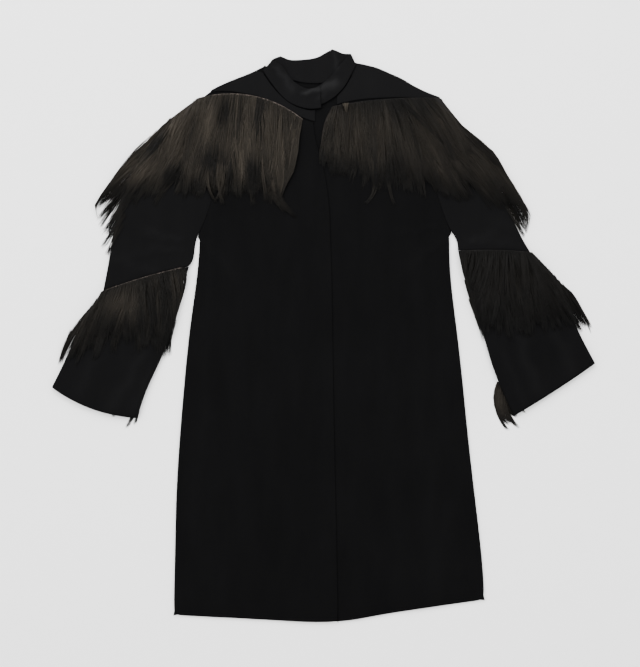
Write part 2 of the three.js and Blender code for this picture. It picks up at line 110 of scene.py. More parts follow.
# %% A finish: one material and the one way of adding a node to it
class Finish:
    """A material, built node by node."""

    def __init__(self, name):
        self.material = bpy.data.materials.new(name)
        self.material.use_nodes = True
        self.tree = self.material.node_tree
        self.shader = self.tree.nodes["Principled BSDF"]
        self.place = self.node("ShaderNodeTexCoord", {}, {}, "Object")

    def node(self, kind, settings, values, output=0):
        made = self.tree.nodes.new(kind)
        for name, value in settings.items():
            if name == "stops":
                self.stops(made, value)
            else:
                setattr(made, name, value)
        for name, value in values.items():
            self.feed(made.inputs[name], value)
        return Wire(self, made.outputs[output])

    def stops(self, made, stops):
        ramp = made.color_ramp.elements
        while len(ramp) < len(stops):
            ramp.new(0.5)
        for element, (where, colour) in zip(ramp, stops):
            element.position = where
            element.color = (*colour, 1)

    def feed(self, socket, value):
        if isinstance(value, Wire):
            self.tree.links.new(value.socket, socket)
        else:
            socket.default_value = value

    def noise(self, scale, detail=3.0, stretch=(1, 1, 1)):
        placed = self.node(
            "ShaderNodeMapping", {}, {"Vector": self.place, "Scale": stretch})
        return self.node(
            "ShaderNodeTexNoise", {},
            {"Vector": placed, "Scale": scale, "Detail": detail, "Roughness": 0.6})

    def mix(self, low, high, share):
        return self.node(
            "ShaderNodeMix", {"data_type": "RGBA"},
            {"Factor": share, "A": low, "B": high}, "Result")

    def attribute(self, name):
        return self.node("ShaderNodeAttribute", {"attribute_name": name}, {}, "Fac")

    def bump(self, height, strength, distance):
        normal = self.node(
            "ShaderNodeBump", {},
            {"Height": height, "Strength": strength, "Distance": distance})
        self.feed(self.shader.inputs["Normal"], normal)

    def look(self, **values):
        for name, value in values.items():
            self.feed(self.shader.inputs[name.replace("_", " ")], value)
        return self.material


# %% [markdown]
# ## Black wool
# The cloth is a dense, matte twill. Diagonal ribs about a millimetre apart and a soft
# nap are too fine to model, so they are bump. Broad patches of nap lie in different
# directions, which is why black wool never looks quite one black. Collar, yokes and
# sleeves have been handled more, so their nap is raised and a shade lighter. The wool
# sends back very little light of any kind, so its shine is set almost to nothing.

# %% The wool finish
def wool_finish():
    wool = Finish("black_wool")
    placed = wool.node(
        "ShaderNodeMapping", {}, {"Vector": wool.place, "Rotation": (0, 0, 0.9)})
    ribs = wool.node(
        "ShaderNodeTexWave", {"wave_type": "BANDS", "bands_direction": "X"},
        {"Vector": placed, "Scale": 260.0, "Distortion": 1.5, "Detail": 1.0,
         "Detail Scale": 3.0}, "Fac")
    nap = wool.noise(700.0, 3.0)
    brushed = wool.noise(40.0, 4.0, (1, 0.22, 1))
    patches = wool.noise(6.0, 3.0)
    lint = wool.node(
        "ShaderNodeValToRGB", {"stops": [(0.70, (0, 0, 0)), (0.80, (1, 1, 1))]},
        {"Fac": wool.noise(420.0, 1.0)})
    uneven = brushed * 0.35 + patches * 0.35 + nap * 0.3
    depth = uneven * 0.5 + wool.attribute("raised") * 0.5
    cloth = wool.mix((0.0008, 0.0008, 0.0009, 1), (0.0062, 0.0061, 0.0064, 1), depth)
    specked = wool.mix(cloth, (0.008, 0.008, 0.0085, 1), lint * 0.3)
    # Painted highlight: the wool is made paler along the crests of its folds.
    colour = wool.mix(specked, (0.019, 0.019, 0.0195, 1), wool.attribute("crest"))
    wool.bump(ribs * 0.35 + nap * 0.65 + brushed * 0.6, 0.55, 0.0005)
    return wool.look(
        Base_Color=colour, Roughness=0.86 + nap * 0.1, Specular_IOR_Level=0.03)


WOOL = wool_finish()
print("wool finish has", len(WOOL.node_tree.nodes), "nodes")

# %% [markdown]
# ## Hair and skin
# The hair is straight, silky and dark brown-black. It is grown as narrow ribbons, each
# a few hairs wide. A ribbon carries a tone, how far along it a point is, how far
# across, and a number of its own, so that fine streaks can be drawn along it. The skin
# below has the same streaks, and shows tan only where it was cut along a seam.

# %% The hair finish
def hair_streaks(finish, across, along, own):
    """Fine streaks along the hair, from places across and along it."""
    where = finish.node(
        "ShaderNodeCombineXYZ", {}, {"X": across + own * 37.0, "Y": along, "Z": own * 11.0})
    return finish.node(
        "ShaderNodeTexNoise", {},
        {"Vector": where, "Scale": 3.2, "Detail": 2.0, "Roughness": 0.6})


def hair_finish():
    hair = Finish("long_hair")
    tone = hair.attribute("tone")
    along = hair.attribute("along")
    streak = hair_streaks(hair, hair.attribute("across"), along, hair.attribute("own"))
    # The tone holds the hair's own dark brown together with painted sheen and painted shade; the bright
    # end of this mix is the sheen's colour.
    shade = tone * (0.55 + streak * 0.9)
    body = hair.mix((0.0023, 0.0021, 0.0019, 1), (0.043, 0.0358, 0.0272, 1), shade)
    # Painted shade: towards each ribbon's tip its colour is drawn to a dark grey, where the sheen dies
    # out.
    painted_tip_shade = hair.mix(body, (0.0032, 0.0031, 0.003, 1), along ** 3 * 0.7)
    hair.bump(streak, 0.5, 0.0004)
    return hair.look(
        Base_Color=painted_tip_shade, Roughness=0.40 + streak * 0.16, Specular_IOR_Level=0.11)


def skin_finish():
    skin = Finish("fur_skin")
    streak = hair_streaks(
        skin, skin.attribute("across"), skin.attribute("along"), skin.attribute("own"))
    # The skin's tone carries the same painted sheen and shade as the hair's.
    shade = skin.attribute("tone") * (0.4 + streak)
    under = skin.mix((0.0012, 0.001, 0.0009, 1), (0.036, 0.028, 0.022, 1), shade)
    grain = skin.noise(500.0, 2.0)
    hide = skin.mix((0.03, 0.024, 0.020, 1), (0.095, 0.077, 0.066, 1), grain)
    colour = skin.mix(under, hide, skin.attribute("cut_edge"))
    skin.bump(streak * 0.8 + grain * 0.2, 0.6, 0.001)
    return skin.look(
        Base_Color=colour, Roughness=0.5 + streak * 0.2, Specular_IOR_Level=0.1)


HAIR = hair_finish()
SKIN = skin_finish()

# %% [markdown]
# ## Cloth from the cut pieces
# A cut piece is a wall of even thickness with few points. Its triangles are joined
# into four-sided faces, its outline is held with creases, and two or three rounds of
# subdivision turn it into smooth cloth with softly rolled edges. Folds are added by
# moving the fine points of the upper side up, with a painted highlight along their crests.

# %% Making one cloth piece
def outline_corners(mesh, rim):
    """Points of the rim where its outline turns sharply, seen from above."""
    corners = set()
    for point in mesh.verts:
        ends = [e.other_vert(point).co for e in point.link_edges if e in rim]
        flat = [Vector((p.x - point.co.x, p.y - point.co.y)) for p in ends]
        flat = [d for d in flat if d.length > 0.003]
        if len(flat) == 2 and flat[0].angle(flat[1]) < math.radians(142):
            corners.add(point)
    return corners


def smooth_copy(name, rounds, hold):
    """A fine, smooth mesh of one cut piece, its outline held by creases."""
    mesh = bmesh.new()
    mesh.from_mesh(nodes[name].data)
    bmesh.ops.remove_doubles(mesh, verts=mesh.verts, dist=2e-5)
    bmesh.ops.join_triangles(
        mesh, faces=mesh.faces, angle_face_threshold=math.radians(35),
        angle_shape_threshold=math.radians(75))
    edge_hold = mesh.edges.layers.float.new("crease_edge")
    point_hold = mesh.verts.layers.float.new("crease_vert")
    rim = {e for e in mesh.edges
           if len(e.link_faces) == 2 and e.calc_face_angle(0) > math.radians(55)}
    for edge in rim:
        edge[edge_hold] = hold
    for point in outline_corners(mesh, rim):
        point[point_hold] = 1.0
    rough = bpy.data.meshes.new(name + "_rough")
    mesh.to_mesh(rough)
    mesh.free()
    piece = put(name + "_rough", rough)
    round_off = piece.modifiers.new("round_off", "SUBSURF")
    round_off.levels = rounds
    round_off.render_levels = rounds
    seen = piece.evaluated_get(bpy.context.evaluated_depsgraph_get())
    fine = bpy.data.meshes.new_from_object(seen)
    bpy.data.objects.remove(piece)
    return fine


def mark(mesh, columns):
    """Stores named numbers on a mesh, one for each point."""
    for label, values in columns.items():
        mesh.attributes.new(label, "FLOAT", "POINT").data.foreach_set(
            "value", values.astype(np.float32))


def finish_piece(name, mesh, material, replaced=()):
    """An object that rides on the coat's body, and may replace solids."""
    mesh.materials.clear()
    mesh.materials.append(material)
    mesh.shade_smooth()
    piece = put(name, mesh)
    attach(piece, "root")
    if replaced:
        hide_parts(*replaced)
    return piece


def positions(mesh):
    flat = np.empty(len(mesh.vertices) * 3)
    mesh.vertices.foreach_get("co", flat)
    return flat.reshape(-1, 3)


def move_to(mesh, points):
    mesh.vertices.foreach_set("co", points.ravel())
    mesh.update()


# %% [markdown]
# ## Folds
# Pressed wool laid flat keeps only soft folds. Each is a curved line with a width and
# a rise, stronger in its middle than at its ends, and no two are alike.

# %% Folds, in millimetres: from, to, sideways bend, half width, rise
FRONT_FOLDS = [
    ((-212, 120), (-236, -470), 6, 20, 1.6),
    ((-150, 40), (-140, -500), -9, 26, 1.1),
    ((-62, 150), (-48, -300), 5, 16, 0.7),
    ((96, 170), (128, -430), 10, 24, 1.3),
    ((176, 150), (214, -470), -8, 22, 1.7),
    ((58, -120), (64, -510), -4, 15, 0.8),
    ((-226, 172), (-160, 96), 6, 9, 1.5),
    ((228, 176), (150, 110), -7, 10, 1.4),
    ((214, 204), (128, 190), 5, 8, 0.9),
    ((-250, -330), (-190, -510), 7, 18, 1.2),
    ((245, -300), (196, -490), -6, 17, 1.0),
]
COLLAR_FOLDS = [
    ((-40, 444), (24, 468), -3, 6, 2.2),
    ((-92, 494), (-56, 446), 4, 8, 1.1),
    ((18, 522), (24, 486), 2, 5, 1.0),
    ((-14, 430), (34, 462), 3, 6, 0.8),
]
SLEEVE_FOLDS = [
    ((-258, 178), (-330, 196), 5, 8, 1.6),
    ((-262, 156), (-350, 150), -6, 7, 1.3),
    ((-300, 118), (-392, 150), 6, 9, 1.4),
    ((262, 176), (322, 196), -5, 8, 1.5),
    ((266, 168), (352, 168), 4, 6, 1.1),
    ((300, 210), (352, 196), 4, 8, 1.0),
]
CUFF_FOLDS = [
    ((-330, -20), (-398, -138), 8, 13, 1.8),
    ((-396, -10), (-450, -116), -6, 12, 1.4),
    ((-320, -60), (-352, -140), 5, 8, 1.3),
    ((352, 30), (404, -112), -8, 13, 1.7),
    ((412, 22), (456, -76), 6, 12, 1.5),
    ((326, -30), (368, -132), 5, 9, 1.2),
]


def fold_rise(points, folds):
    """Rise in metres that a list of folds gives at each point."""
    x = points[:, 0] / MM
    y = points[:, 1] / MM
    total = np.zeros(len(points))
    for (x0, y0), (x1, y1), bend, half, rise in folds:
        run = math.hypot(x1 - x0, y1 - y0)
        dx = (x1 - x0) / run
        dy = (y1 - y0) / run
        along = ((x - x0) * dx + (y - y0) * dy) / run
        inside = np.clip(along, 0, 1)
        middle = bend * np.sin(np.pi * inside) + bend * 0.4 * np.sin(5 * np.pi * inside)
        across = (y - y0) * dx - (x - x0) * dy - middle
        width = half * (0.7 + 0.6 * inside)
        ends = np.clip((along + 0.1) * 5, 0, 1) * np.clip((1.15 - along) * 4, 0, 1)
        total += rise * np.exp(-(across / width) ** 2) * ends
    return total * MM


def ripple(points, size, height):
    """Slow unevenness of relaxed cloth, never below zero."""
    x = points[:, 0] / size
    y = points[:, 1] / size
    waves = np.sin(x + 1.7 * np.sin(y * 0.6)) + np.sin(y * 1.3 + 0.9 * x)
    return height * (0.5 + 0.25 * waves)


# %% [markdown]
# ## Closing the armholes
# A sleeve is set into a curved armhole. Smoothing shortens both curves a little, so
# each edge is drawn back to the armhole line, less and less further from it.

# %% Draw an edge back to the armhole line
ARMHOLES = {"right": ((-232, 183), (-227, 436), 32), "left": ((236, 190), (218, 436), -26)}
EASE = 38 * MM
SLEEVE_JOIN = 0.1 * MM
BODY_JOIN = -0.5 * MM


def close_armhole(points, arm, sleeve):
    """Moves points sideways so that the piece's edge lies on its armhole."""
    (x0, y0), (x1, y1), bow = ARMHOLES[arm]
    t = (points[:, 1] / MM - y0) / (y1 - y0)
    seam = (x0 + (x1 - x0) * t + bow * 4 * t * (1 - t)) * MM
    outward = -1 if arm == "right" else 1
    away = (points[:, 0] - seam) * outward * (1 if sleeve else -1)
    near = (t > -0.01) & (t < 1.01) & (np.abs(away) < EASE)
    bins = np.clip((t * 30).astype(int), 0, 29)
    gaps = np.full(30, np.nan)
    for k in range(30):
        chosen = near & (bins == k)
        if chosen.any():
            gaps[k] = away[chosen].min()
    known = ~np.isnan(gaps)
    gap = np.interp(t * 30 - 0.5, np.arange(30)[known], gaps[known])
    share = np.clip(1 - (away - gap) / EASE, 0, 1) * near
    join = SLEEVE_JOIN if sleeve else BODY_JOIN
    points[:, 0] -= (gap - join) * share * outward * (1 if sleeve else -1)


# %% Tuck the yoke's inner corner under the fold of the collar
TUCK = (62, 478, 11)


def tuck_in(points):
    """Draws the corner inwards, most at the top, so that no gap shows at the neck."""
    x0, y0, reach = TUCK
    high = np.clip((points[:, 1] / MM - y0) / 20, 0, 1)
    near = np.clip(1 - (points[:, 0] / MM - x0) / 36, 0, 1)
    points[:, 0] -= reach * MM * high * np.minimum(near, 1)


# %% Corners that smoothing drew in, drawn out again: x, y, reach round it, shift in x
NUDGES = {
    "sleeve_right": (-254, 134, 24, 7),
    "cuff_right": (-254, 124, 24, 7),
    "cuff_left": (398, 138, 30, 6),
}


def draw_out(points, x0, y0, reach, shift):
    """Moves points sideways, most at the given place and less around it."""
    away = np.hypot(points[:, 0] / MM - x0, points[:, 1] / MM - y0)
    points[:, 0] += shift * MM * np.exp(-(away / reach) ** 2)


# %% The cloth pieces: rounds of smoothing, folds, unevenness, edge hold, raised nap
CLOTH_PIECES = {
    "back": (2, [], 0.0, 0.2, 0.1),
    "front_left": (3, FRONT_FOLDS, 0.3, 0.2, 0.0),
    "front_right": (3, FRONT_FOLDS, 0.3, 0.2, 0.02),
    "yoke_right": (3, [], 0.2, 0.2, 0.55),
    "yoke_left": (3, [], 0.2, 0.2, 0.6),
    "collar": (3, COLLAR_FOLDS, 0.3, 0.2, 0.55),
    "sleeve_right": (2, SLEEVE_FOLDS, 0.3, 0.9, 0.3),
    "sleeve_left": (2, SLEEVE_FOLDS, 0.3, 0.9, 0.3),
    "cuff_right": (2, CUFF_FOLDS, 0.3, 0.9, 0.25),
    "cuff_left": (2, CUFF_FOLDS, 0.3, 0.9, 0.15),
}
# Strength of the painted highlight on fold crests, per piece; 0.06 for the others.
CREST_HIGHLIGHTS = {"collar": 0.30, "front_left": 0.015, "front_right": 0.015}
cloth = {}
for name, (rounds, folds, uneven, hold, raised) in CLOTH_PIECES.items():
    fine = smooth_copy(name, rounds, hold)
    points = positions(fine)
    for arm in ARMHOLES:
        if name == "sleeve_" + arm:
            close_armhole(points, arm, True)
        elif name in ("back", "front_" + arm):
            close_armhole(points, arm, False)
    if name == "yoke_left":
        tuck_in(points)
    if name in NUDGES:
        draw_out(points, *NUDGES[name])
    upper = np.clip((points[:, 2] - 2.4 * MM) / (2 * MM), 0, 1)
    folded = fold_rise(points, folds) * upper
    # Painted highlight: paler wool along fold crests, growing with the rise of the fold.
    crest = np.clip(folded / (2 * MM), 0, 1) ** 1.5 * CREST_HIGHLIGHTS.get(name, 0.06)
    points[:, 2] += folded + ripple(points, 0.045, uneven * MM) * upper
    move_to(fine, points)
    mark(fine, {"raised": np.full(len(points), raised), "crest": crest})
    cloth[name] = finish_piece(name + "_cloth", fine, WOOL, (name,))
    print(name, "has", len(fine.polygons), "faces")

# %% [markdown]
# ## What the hair lies on
# Hair is draped over whatever is under it. A grid of heights, measured straight down
# onto the cloth and softened a little, says how high the coat is everywhere, and
# falls to the floor beyond its edges.

# %% Heights of the cloth on a grid
GRID_STEP = 0.003
GRID_LOW = np.array([-0.56, -0.58])
GRID_COUNT = (374, 388)


def height_grid(pieces):
    """Highest cloth under each place of the grid, found by looking straight down."""
    heights = np.zeros(GRID_COUNT)
    down = Vector((0, 0, -1))
    for piece in pieces:
        points = positions(piece.data)
        shape = BVHTree.FromPolygons(
            [tuple(p) for p in points], [tuple(f.vertices) for f in piece.data.polygons])
        low = np.maximum(((points.min(0)[:2] - GRID_LOW) / GRID_STEP).astype(int), 0)
        high = ((points.max(0)[:2] - GRID_LOW) / GRID_STEP).astype(int) + 1
        for i in range(low[0], min(high[0], GRID_COUNT[0] - 1) + 1):
            for j in range(low[1], min(high[1], GRID_COUNT[1] - 1) + 1):
                x, y = GRID_LOW + GRID_STEP * np.array((i, j))
                hit = shape.ray_cast(Vector((x, y, 0.1)), down)[0]
                if hit and hit.z > heights[i, j]:
                    heights[i, j] = hit.z
    return heights


def soften(heights, rounds):
    """Widens each high place by one step, then evens the heights out."""
    wide = heights.copy()
    for shift in ((1, 0), (-1, 0), (0, 1), (0, -1)):
        wide = np.maximum(wide, np.roll(heights, shift, (0, 1)))
    for _ in range(rounds):
        near = sum(np.roll(wide, s, (0, 1)) for s in ((1, 0), (-1, 0), (0, 1), (0, -1)))
        wide = wide * 0.5 + near * 0.125
    return wide


UPPER_CLOTH = [cloth[n] for n in (
    "front_left", "front_right", "yoke_left", "yoke_right",
    "sleeve_left", "sleeve_right", "cuff_left", "cuff_right")]
bed = soften(height_grid(UPPER_CLOTH), 3)
print("highest cloth", round(float(bed.max()) / MM, 1), "mm")


def bed_height(x, y):
    """Height under each place, between the grid's four nearest points."""
    gx = np.clip((x - GRID_LOW[0]) / GRID_STEP, 0, GRID_COUNT[0] - 1.001)
    gy = np.clip((y - GRID_LOW[1]) / GRID_STEP, 0, GRID_COUNT[1] - 1.001)
    i = gx.astype(int)
    j = gy.astype(int)
    u = gx - i
    v = gy - j
    low = bed[i, j] * (1 - u) + bed[i + 1, j] * u
    high = bed[i, j + 1] * (1 - u) + bed[i + 1, j + 1] * u
    return low * (1 - v) + high * v


# %% [markdown]
# ## Where the fur was sewn
# Each fur piece is a table of lines across it, in millimetres, from the seam at its
# top downwards: the two ends of the line and how far it bows.

# %% Lines across the fur: inner x and y, outer x and y, bow x and y
YOKE_RIGHT = np.array([
    (-38, 398, -234, 437, 6, 24),
    (-45, 362, -302, 386, 8, 15),
    (-54, 328, -353, 329, 6, 10),
    (-65, 294, -388, 280, 4, 7),
    (-66, 274, -401, 240, 2, 16),
    (-62, 256, -397, 190, 0, 36),
])
YOKE_LEFT = np.array([
    (16, 422, 218, 437, 0, 6),
    (2, 392, 264, 383, -2, 5),
    (-4, 356, 313, 330, -2, 4),
    (0, 322, 348, 274, -2, 4),
    (13, 298, 368, 228, 0, 14),
    (16, 286, 374, 184, 0, 26),
])
BAND_RIGHT = np.array([
    (-253, 127, -409, 81, 0, 3),
    (-262, 90, -431, 52, 0, 2),
    (-274, 45, -455, 18, 0, 0),
    (-283, 2, -466, -18, 0, -3),
    (-299, -45, -482, -55, -2, -6),
    (-326, -100, -493, -77, -5, -13),
    (-342, -152, -500, -95, -5, -12),
])
BAND_LEFT = np.array([
    (247, 156, 386, 153, 0, 3),
    (260, 112, 430, 108, 0, 2),
    (273, 68, 457, 76, 0, 0),
    (286, 30, 471, 44, 0, 0),
    (298, -15, 474, 12, 1, -2),
    (317, -82, 486, -20, 1, -3),
    (344, -148, 500, -51, 1, -2),
])

# %% How the hair hangs, at places across the coat: x, degrees off straight down, tips
HANG_YOKE_RIGHT = np.array([
    (-420, 40, 165), (-400, 43, 178), (-385, 45, 208), (-360, 46, 244), (-335, 46, 258),
    (-300, 42, 262), (-270, 31, 258), (-240, 20, 263), (-215, 14, 258), (-190, 10, 266),
    (-160, 4, 256), (-130, 0, 262), (-105, 1, 250), (-80, 4, 246), (-60, 8, 256),
    (-38, 12, 292),
])
HANG_YOKE_LEFT = np.array([
    (-10, 4, 318), (20, -2, 296), (45, 0, 300), (67, 2, 294), (98, 6, 268),
    (120, 16, 276), (161, 27, 268), (190, 31, 262), (209, 35, 254), (240, 40, 250),
    (272, 44, 248), (310, 46, 244), (335, 46, 226), (352, 43, 205), (372, 40, 180),
    (400, 38, 170),
])
HANG_BAND_RIGHT = np.array([
    (-490, 30, -58), (-450, 32, -52), (-420, 28, -34), (-390, 20, -20), (-360, 12, -8),
    (-330, 4, -16), (-300, -4, -26), (-280, -8, -34), (-250, -10, -30),
])
HANG_BAND_LEFT = np.array([
    (240, -8, 20), (270, -12, 8), (300, -10, -6), (340, 6, -2), (380, 20, 6),
    (420, 32, 12), (455, 40, 16), (480, 44, 14), (505, 46, 12),
])


# %% Outline of each fur piece at places down the coat: y, inner x, outer x
OUTLINES = {
    "fur_yoke_right": np.array([
        (130, -92, -391), (150, -92, -399), (180, -90, -402), (220, -88, -412),
        (240, -85, -416), (262, -80, -403), (282, -70, -389), (297, -60, -378),
        (319, -51, -362), (341, -46, -345), (393, -38, -297), (433, -36, -249),
        (447, -36, -216),
    ]),
    "fur_yoke_left": np.array([
        (170, 60, 374), (189, 50, 371), (222, 40, 378), (260, 20, 357), (296, -1, 333),
        (338, -12, 313), (383, -6, 255), (424, 10, 213), (445, 16, 190),
    ]),
    "fur_band_right": np.array([
        (-60, -294, -491), (-43, -293, -485), (-19, -290, -477), (1, -285, -467),
        (16, -280, -457), (47, -272, -435), (73, -264, -415), (119, -250, -387),
    ]),
    "fur_band_left": np.array([
        (0, 297, 490), (5, 295, 492), (22, 291, 485), (46, 284, 474), (78, 274, 458),
        (127, 256, 415), (152, 248, 383),
    ]),
}


def column(table, index, row):
    """Smooth value of one column between whole rows."""
    values = table[:, index]
    slopes = np.gradient(values)
    i = np.clip(np.floor(row).astype(int), 0, len(values) - 2)
    t = row - i
    return ((2 * t**3 - 3 * t**2 + 1) * values[i] + (t**3 - 2 * t**2 + t) * slopes[i]
            + (3 * t**2 - 2 * t**3) * values[i + 1] + (t**3 - t**2) * slopes[i + 1])


def fur_place(table, row, across):
    """Place in metres on a fur piece, x and y together."""
    bow = 4 * across * (1 - across)
    inner = np.stack([column(table, k, row) for k in (0, 1)], -1)
    outer = np.stack([column(table, k, row) for k in (2, 3)], -1)
    bend = np.stack([column(table, k, row) for k in (4, 5)], -1)
    share = across[..., None]
    return (inner * (1 - share) + outer * share + bend * bow[..., None]) * MM


# %% [markdown]
# ## Growing hair
# Hair is set out as lines first. Roots are scattered over the skin, with an extra row
# along the seam so that no skin shows there. Each hair hangs at the angle given for
# its place and stops near the line of the tips. Neighbours gather into pointed locks
# of all lengths, so the edge is never a straight fringe. The pile thins to nothing at
# its tips, and the painted sheen in its tone fades out there into painted shade. The
# tone is never even: a list of soft patches paints sheen on some places and shade on
# others, slow waves add real unevenness, and every lock adds a small change of its own.

# %% Scatter roots over part of a fur piece
def scatter(table, rows, count, chance, seam):
    """Row and place across for each root, a share of them close to the seam."""
    cells_down = np.linspace(*rows, 25)
    cells_over = np.linspace(0.004, 0.996, 33)
    grid = fur_place(table, *np.meshgrid(cells_down, cells_over, indexing="ij"))
    down = np.diff(grid, axis=0)[:, :-1]
    over = np.diff(grid, axis=1)[:-1]
    area = np.abs(down[..., 0] * over[..., 1] - down[..., 1] * over[..., 0])
    cell = chance.choice(area.size, count, p=area.ravel() / area.sum())
    i, j = np.unravel_index(cell, area.shape)
    row = cells_down[i] + chance.random(count) * (cells_down[1] - cells_down[0])
    across = cells_over[j] + chance.random(count) * (cells_over[1] - cells_over[0])
    at_seam = chance.random(count) < seam
    row = np.where(at_seam, rows[0] + 0.1 * chance.random(count), row)
    return row, across


# %% Small helpers for directions
def unit(vector):
    return vector / np.linalg.norm(vector, axis=-1, keepdims=True)


def hang_direction(outward, degrees):
    """Straight down the page, turned outwards by an angle."""
    angle = np.radians(degrees)
    return np.stack([outward * np.sin(angle), -np.cos(angle)], -1)


def smooth_step(t):
    t = np.clip(t, 0, 1)
    return t * t * (3 - 2 * t)


# %% Lines of hair for one fur piece
POINTS = 7
ALONG = np.linspace(0, 1, POINTS)


def to_tips(hang, place, direction):
    """How far a hair goes in its direction before it meets the line of the tips."""
    reach = np.full(len(place), 0.02)
    for _ in range(5):
        end = place + direction * reach[:, None]
        line = np.interp(end[:, 0] / MM, hang[:, 0], hang[:, 2]) * MM
        reach += 0.8 * (end[:, 1] - line) / np.maximum(-direction[:, 1], 0.4)
    return reach


def hold_in(name, lines):
    """Pulls hair that strays past the outline most of the way back to it."""
    outline = OUTLINES[name]
    x = lines[..., 0] / MM
    y = lines[..., 1] / MM
    for side in (1, 2):
        limit = np.interp(y, outline[:, 0], outline[:, side])
        outward = np.sign(outline[0, side] - outline[0, 3 - side])
        past = np.maximum((x - limit) * outward, 0)
        x = x - outward * (past - 5 * np.tanh(past / 14))
    lines[..., 0] = x * MM
    return lines


def seam_shade(fur, x, y):
    """Darker close under the seam, where the hair comes out from below the cloth."""
    seam = fur_place(fur["table"], np.zeros(40), np.linspace(0, 1, 40))
    seam = seam[np.argsort(seam[:, 0])]
    below = np.interp(x, seam[:, 0], seam[:, 1]) - y
    return fur["top"] + (1 - fur["top"]) * smooth_step(below / (24 * MM))


# %% Places of painted sheen and shade: x, y, half across, half along, lean outwards, change
SHEEN_AND_SHADE_PATCHES = {
    "fur_yoke_right": [
        (-186, 410, 16, 22, 0, -0.30), (-262, 384, 22, 28, 20, 0.14),
        (-212, 380, 8, 34, -4, 0.24), (-243, 380, 7, 26, 22, -0.28),
        (-180, 352, 13, 12, 0, 0.20), (-208, 322, 30, 14, 0, -0.30), (-152, 306, 5, 46, 0, 0.34),
        (-137, 366, 6, 26, -8, 0.20), (-131, 296, 14, 26, 0, -0.50), (-86, 345, 36, 44, 0, 0.08),
        (-86, 272, 14, 26, -10, 0.16), (-204, 262, 7, 18, -14, 0.36), (-176, 286, 10, 24, 0, -0.34),
        (-312, 344, 10, 22, 45, -0.36), (-306, 306, 12, 22, 30, 0.20), (-341, 296, 10, 16, 50, 0.10),
        (-279, 294, 22, 18, 20, -0.42), (-264, 350, 9, 30, 30, 0.12), (-236, 270, 20, 16, 0, -0.22),
        (-386, 246, 34, 36, 40, -0.42), (-110, 262, 9, 18, 0, -0.24), (-348, 262, 22, 14, 0, -0.26),
        (-66, 398, 14, 20, 0, -0.10), (-112, 404, 10, 18, 0, -0.08), (-58, 352, 5, 30, -4, -0.10),
    ],
    "fur_yoke_left": [
        (140, 425, 80, 26, 0, -0.16), (136, 312, 22, 34, 10, -0.14), (58, 356, 40, 50, 0, 0.08),
        (203, 330, 12, 66, 32, 0.08), (240, 408, 20, 12, 0, 0.06), (16, 368, 12, 22, 0, -0.07),
        (170, 372, 12, 40, 22, -0.08), (108, 340, 6, 40, 4, 0.08), (258, 300, 14, 60, 40, -0.09),
        (300, 280, 9, 60, 42, 0.04), (350, 240, 24, 40, 40, -0.09), (34, 316, 12, 20, 0, 0.06),
        (74, 296, 14, 20, 0, -0.12),
    ],
    "fur_band_right": [
        (-368, 53, 32, 30, 10, 0.20), (-298, 50, 28, 44, -6, -0.12), (-268, 112, 12, 9, 0, 0.05),
        (-400, 20, 20, 34, 30, -0.08), (-345, 70, 5, 30, 4, 0.05), (-334, 30, 7, 30, 0, -0.06),
    ],
    "fur_band_left": [
        (350, 97, 30, 24, 10, 0.035), (410, 90, 20, 30, 40, 0.015), (290, 60, 16, 40, 0, -0.02),
    ],
}


def tone_sheen_and_shade(name, x, y):
    """Tone change at each place of a fur piece: painted sheen and shade patches, slow waves."""
    outward = FURS[name]["outward"]
    change = FURS[name]["uneven"] * (
        np.sin(x * 131 - y * 18) + 0.8 * np.sin(y * 44 + x * 62 + 2.9)) / 1.8
    for x0, y0, across, along, lean, step in SHEEN_AND_SHADE_PATCHES[name]:
        angle = math.radians(lean) * outward
        dx = x / MM - x0
        dy = y / MM - y0
        u = dx * math.cos(angle) + dy * math.sin(angle)
        v = dy * math.cos(angle) - dx * math.sin(angle)
        inside = np.exp(-(u / across) ** 2 - (v / along) ** 2)
        change = change + step * FURS[name]["contrast"] * inside
    return change


